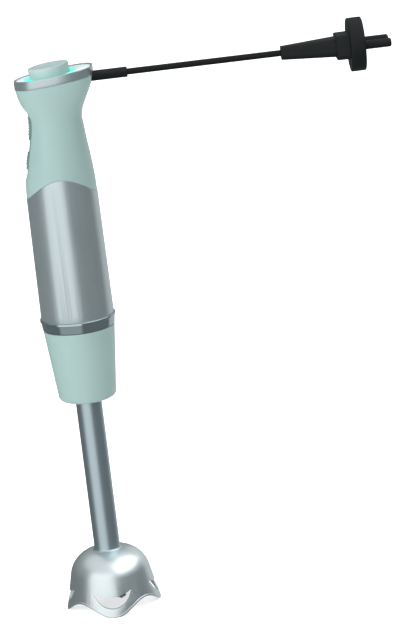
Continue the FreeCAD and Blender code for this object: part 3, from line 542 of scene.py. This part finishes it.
class Pattern(Graph):  # a geometry node tree with named sizes
    def __init__(self, name, sizes):
        super().__init__(bpy.data.node_groups.new(name, "GeometryNodeTree"))
        self.sizes = sizes
        self.places = {}
        face = self.tree.interface
        face.new_socket(name="Geometry", in_out="OUTPUT", socket_type="NodeSocketGeometry")
        for size, value in sizes.items():
            kind = "NodeSocketInt" if isinstance(value, int) else "NodeSocketFloat"
            self.places[size] = face.new_socket(name=size, in_out="INPUT", socket_type=kind).identifier
        self.group = self.add("NodeGroupInput")

    def size(self, name):
        return self.get(self.group, name)

    def position(self):
        parts = self.add("ShaderNodeSeparateXYZ", None, {0: self.get(self.add("GeometryNodeInputPosition"))})
        return [self.get(parts, name) for name in "XYZ"]

    def point(self, x, y, z):
        return self.get(self.add("ShaderNodeCombineXYZ", None, {"X": x, "Y": y, "Z": z}))

    def tube(self, path, radius, sides):
        ring = self.add("GeometryNodeCurvePrimitiveCircle", None, {"Resolution": sides, "Radius": radius})
        inputs = {"Curve": path, "Profile Curve": ring.outputs[0], "Fill Caps": True}
        return self.add("GeometryNodeCurveToMesh", None, inputs).outputs[0]

    def finish(self, geometry, slotName, name, body):
        real = self.add("GeometryNodeRealizeInstances", None, {"Geometry": geometry})
        inputs = {"Geometry": real.outputs[0], "Material": finishes[slotName]}
        painted = self.add("GeometryNodeSetMaterial", None, inputs)
        self.add("NodeGroupOutput", None, {0: painted.outputs[0]})
        item = newPiece(name, bpy.data.meshes.new(name))
        modifier = item.modifiers.new("pattern", "NODES")
        modifier.node_group = self.tree
        for size, value in self.sizes.items():
            modifier[self.places[size]] = value
        settle(item)
        smoothed(item.data, 50.0)
        keepPiece(item, body, slotName)


hemSizes = {
    "Rim radius": 33.75 * mm,  # middle of the bell's wall at its feet
    "Full radius": 34.4 * mm,
    "Lean": 0.2148,  # how much the skirt draws in per unit of height
    "Lobe": 9.5 * mm,
    "Flat": 0.25 * mm,
    "Hem radius": 0.74 * mm,
    "Steps": 360,
}


def makeHem():  # a rolled hem follows the bell's wavy rim
    pattern = Pattern("bellHem", hemSizes)
    size = pattern.size
    inputs = {"Resolution": size("Steps"), "Radius": size("Rim radius")}
    ring = pattern.add("GeometryNodeCurvePrimitiveCircle", None, inputs)
    x, y, z = pattern.position()
    turn = pattern.maths("ARCTAN2", y, x)
    wave = pattern.maths("ABSOLUTE", pattern.maths("SINE", turn * 2.0))
    height = 0.35 * size("Lobe")
    for step in range(3):
        share = (size("Rim radius") - height * size("Lean")) / size("Full radius")
        root = 1.0 - share * share * (1.0 - wave)
        height = pattern.maths("MAXIMUM", size("Lobe") * root * root - size("Flat"), 0.0)
    radius = size("Rim radius") - height * size("Lean")
    across = pattern.maths("COSINE", turn) * radius
    back = pattern.maths("SINE", turn) * radius
    place = pattern.point(across, back, height + size("Hem radius"))
    wavy = pattern.add("GeometryNodeSetPosition", None, {"Geometry": ring.outputs[0], "Position": place})
    pattern.finish(pattern.tube(wavy.outputs[0], size("Hem radius"), 12), "satin_steel", "bellHem", "foot")


ridgeLook = {
    "width": 7.6,
    "radius": 0.42,
    "pitch": 2.0,
    "rows": {"power_button": 5, "turbo_button": 3},
    "away": -0.06,  # the rays start this far in front of the handle
    "reach": 0.1,
}


def makeRidges(node, body):  # soft ridges laid across a button, each following its curved face
    low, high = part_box(node)
    look = ridgeLook
    count = look["rows"][node]
    sizes = {
        "Rows": count,
        "Pitch": look["pitch"] * mm,
        "Half width": look["width"] / 2 * mm,
        "Ridge radius": look["radius"] * mm,
        "Lowest": (low[2] + high[2]) / 2 - (count - 1) / 2 * look["pitch"] * mm,
    }
    pattern = Pattern(node + "Ridges", sizes)
    size = pattern.size
    inputs = {
        "Count": size("Rows"),
        "Start Location": pattern.point(0.0, 0.0, size("Lowest")),
        "Offset": pattern.point(0.0, 0.0, size("Pitch")),
    }
    row = pattern.add("GeometryNodeMeshLine", None, inputs)
    left = pattern.point(0.0, size("Half width") * -1.0, 0.0)
    right = pattern.point(0.0, size("Half width"), 0.0)
    across = pattern.add("GeometryNodeCurvePrimitiveLine", None, {"Start": left, "End": right})
    fine = pattern.add("GeometryNodeResampleCurve", None, {"Curve": across.outputs[0], "Count": 14})
    inputs = {"Points": row.outputs[0], "Instance": fine.outputs[0]}
    rows = pattern.add("GeometryNodeInstanceOnPoints", None, inputs)
    real = pattern.add("GeometryNodeRealizeInstances", None, {"Geometry": rows.outputs[0]})
    x, y, z = pattern.position()
    face = pattern.add("GeometryNodeObjectInfo", None, {"Object": nodes[node]})
    inputs = {
        "Target Geometry": face.outputs["Geometry"],
        "Source Position": pattern.point(look["away"], y, z),
        "Ray Direction": (1.0, 0.0, 0.0),
        "Ray Length": look["reach"],
    }
    ray = pattern.add("GeometryNodeRaycast", None, inputs)
    inputs = {"Geometry": real.outputs[0], "Position": ray.outputs["Hit Position"]}
    laid = pattern.add("GeometryNodeSetPosition", None, inputs)
    ridges = pattern.tube(laid.outputs[0], size("Ridge radius"), 10)
    pattern.finish(ridges, "soft_grip", node + "Ridges", body)


makeTube()
makeBaseRing()
softenEdges()
makeHem()
makeRidges("power_button", "power_key")
makeRidges("turbo_button", "turbo_key")
print("tube, base ring, soft edges, hem and ridges made")

# mains lead
leadLook = {"start": 55.8, "end": 163.8, "height": 387.2, "diameter": 4.5}


def makeLead():
    look = leadLook
    low = look["start"] * mm
    high = look["end"] * mm
    curve = bpy.data.curves.new("lead", "CURVE")
    curve.dimensions = "3D"
    curve.bevel_depth = look["diameter"] / 2 * mm
    curve.bevel_resolution = 8
    curve.resolution_u = 16
    curve.use_fill_caps = True
    spline = curve.splines.new("NURBS")
    spline.points.add(3)
    for point, share in zip(spline.points, (0.0, 0.3, 0.7, 1.0)):
        point.co = (low + (high - low) * share, 0.0, look["height"] * mm, 1.0)
    spline.order_u = 3
    spline.use_endpoint_u = True
    curve.materials.append(finishes["black_cable"])
    lead = bpy.data.objects.new("lead", curve)
    bpy.context.scene.collection.objects.link(lead)
    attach(lead, "motor_unit")
    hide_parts("cord")


makeLead()
print("lead made")

# camera, light and floor
view = {
    "place": (0.0426, -1.8412, 0.6739),
    "forward": (0.02351688, 0.9690491, -0.24574538),
    "roll": 6.645,
    "lens": 152.1,
}


def makeCamera():
    forward = Vector(view["forward"]).normalized()
    right = forward.cross(Vector((0.0, 0.0, 1.0))).normalized()
    up = right.cross(forward)
    roll = math.radians(view["roll"])
    across = right * math.cos(roll) - up * math.sin(roll)
    above = right * math.sin(roll) + up * math.cos(roll)
    data = bpy.data.cameras.new("camera")
    data.lens = view["lens"]
    data.sensor_width = 36.0
    data.clip_start = 0.05
    camera = bpy.data.objects.new("camera", data)
    turn = Matrix((across, above, -forward)).transposed().to_4x4()
    camera.matrix_world = Matrix.Translation(Vector(view["place"])) @ turn
    bpy.context.scene.collection.objects.link(camera)
    bpy.context.scene.camera = camera


# panels of light round the object: azimuths from the front of the picture, heights as slopes
panels = [
    {"from": -66.0, "to": 10.0, "low": -0.36, "high": 0.62, "light": 0.95},
    {"from": -66.0, "to": 10.0, "low": -1.2, "high": -0.36, "light": 0.30},
    {"from": 118.0, "to": 168.0, "low": -0.7, "high": 0.5, "light": 0.42},
    {"from": 20.0, "to": 130.0, "low": 0.45, "high": 0.95, "light": 1.3},
    {"from": -181.0, "to": 181.0, "low": 0.62, "high": 1.2, "light": 0.35},
]


worldLook = {"base": 0.22, "rise": 0.30, "softTurn": 7.0, "softHeight": 0.06, "cool": (0.86, 0.96, 1.0, 1.0)}


def makeWorld():
    look = worldLook
    world = bpy.data.worlds.new("studio")
    world.use_nodes = True
    bpy.context.scene.world = world
    graph = Graph(world.node_tree)
    direction = graph.get(graph.add("ShaderNodeTexCoord"), "Generated")
    parts = graph.add("ShaderNodeSeparateXYZ", None, {0: direction})
    x, y, z = [graph.get(parts, name) for name in "XYZ"]
    azimuth = graph.maths("ARCTAN2", x, y * -1.0) * (180 / math.pi)
    brightness = look["base"] + graph.clamp(z) * look["rise"]
    for panel in panels:
        left = graph.clamp((azimuth - panel["from"]) / look["softTurn"] + 0.5)
        right = graph.clamp((panel["to"] - azimuth) / look["softTurn"] + 0.5)
        bottom = graph.clamp((z - panel["low"]) / look["softHeight"] + 0.5)
        top = graph.clamp((panel["high"] - z) / look["softHeight"] + 0.5)
        brightness = brightness + left * right * bottom * top * panel["light"]
    colour = graph.mixColour(graph.clamp(brightness), look["cool"], white)
    seen = graph.get(graph.add("ShaderNodeLightPath"), "Is Camera Ray")
    around = graph.add("ShaderNodeBackground", None, {"Color": colour, "Strength": brightness})
    plain = graph.add("ShaderNodeBackground", None, {"Color": white, "Strength": 1.0})
    mixed = graph.add("ShaderNodeMixShader", None, {0: seen, 1: around.outputs[0], 2: plain.outputs[0]})
    graph.tree.links.new(mixed.outputs[0], graph.tree.nodes["World Output"].inputs[0])


lamps = [
    {"name": "keyLamp", "place": (-1.1, -1.0, 1.0), "size": (0.9, 0.9), "watts": 22.0},
    {"name": "fillLamp", "place": (1.1, -0.9, 0.9), "size": (0.8, 0.8), "watts": 0.4},
    {"name": "topLamp", "place": (0.1, 0.3, 1.7), "size": (0.8, 0.6), "watts": 6.0},
]


def makeLamps():
    target = Vector((0.03, 0.0, 0.2))
    for lamp in lamps:
        data = bpy.data.lights.new(lamp["name"], "AREA")
        data.shape = "RECTANGLE"
        data.size, data.size_y = lamp["size"]
        data.energy = lamp["watts"]
        item = bpy.data.objects.new(lamp["name"], data)
        item.location = lamp["place"]
        item.rotation_euler = (target - item.location).to_track_quat("-Z", "Y").to_euler()
        item.visible_glossy = False
        bpy.context.scene.collection.objects.link(item)


def makeFloor():
    size = 8.0
    mesh = bpy.data.meshes.new("floor")
    corners = [(-size, -size, 0.0), (size, -size, 0.0), (size, size, 0.0), (-size, size, 0.0)]
    mesh.from_pydata(corners, [], [(0, 1, 2, 3)])
    finish = Finish("paleFloor")
    finish.shade((0.9, 0.91, 0.91), finish.noise(3.0, 2.0), 0.99, 1.01)
    finish.fixed(Roughness=0.8, Emission_Color=white, Emission_Strength=0.6)
    mesh.materials.append(finish.material)
    floor = bpy.data.objects.new("floor", mesh)
    floor.visible_glossy = False
    bpy.context.scene.collection.objects.link(floor)


makeCamera()
makeWorld()
makeLamps()
makeFloor()
bpy.context.scene.view_settings.view_transform = "Standard"
print("camera, light and floor set")
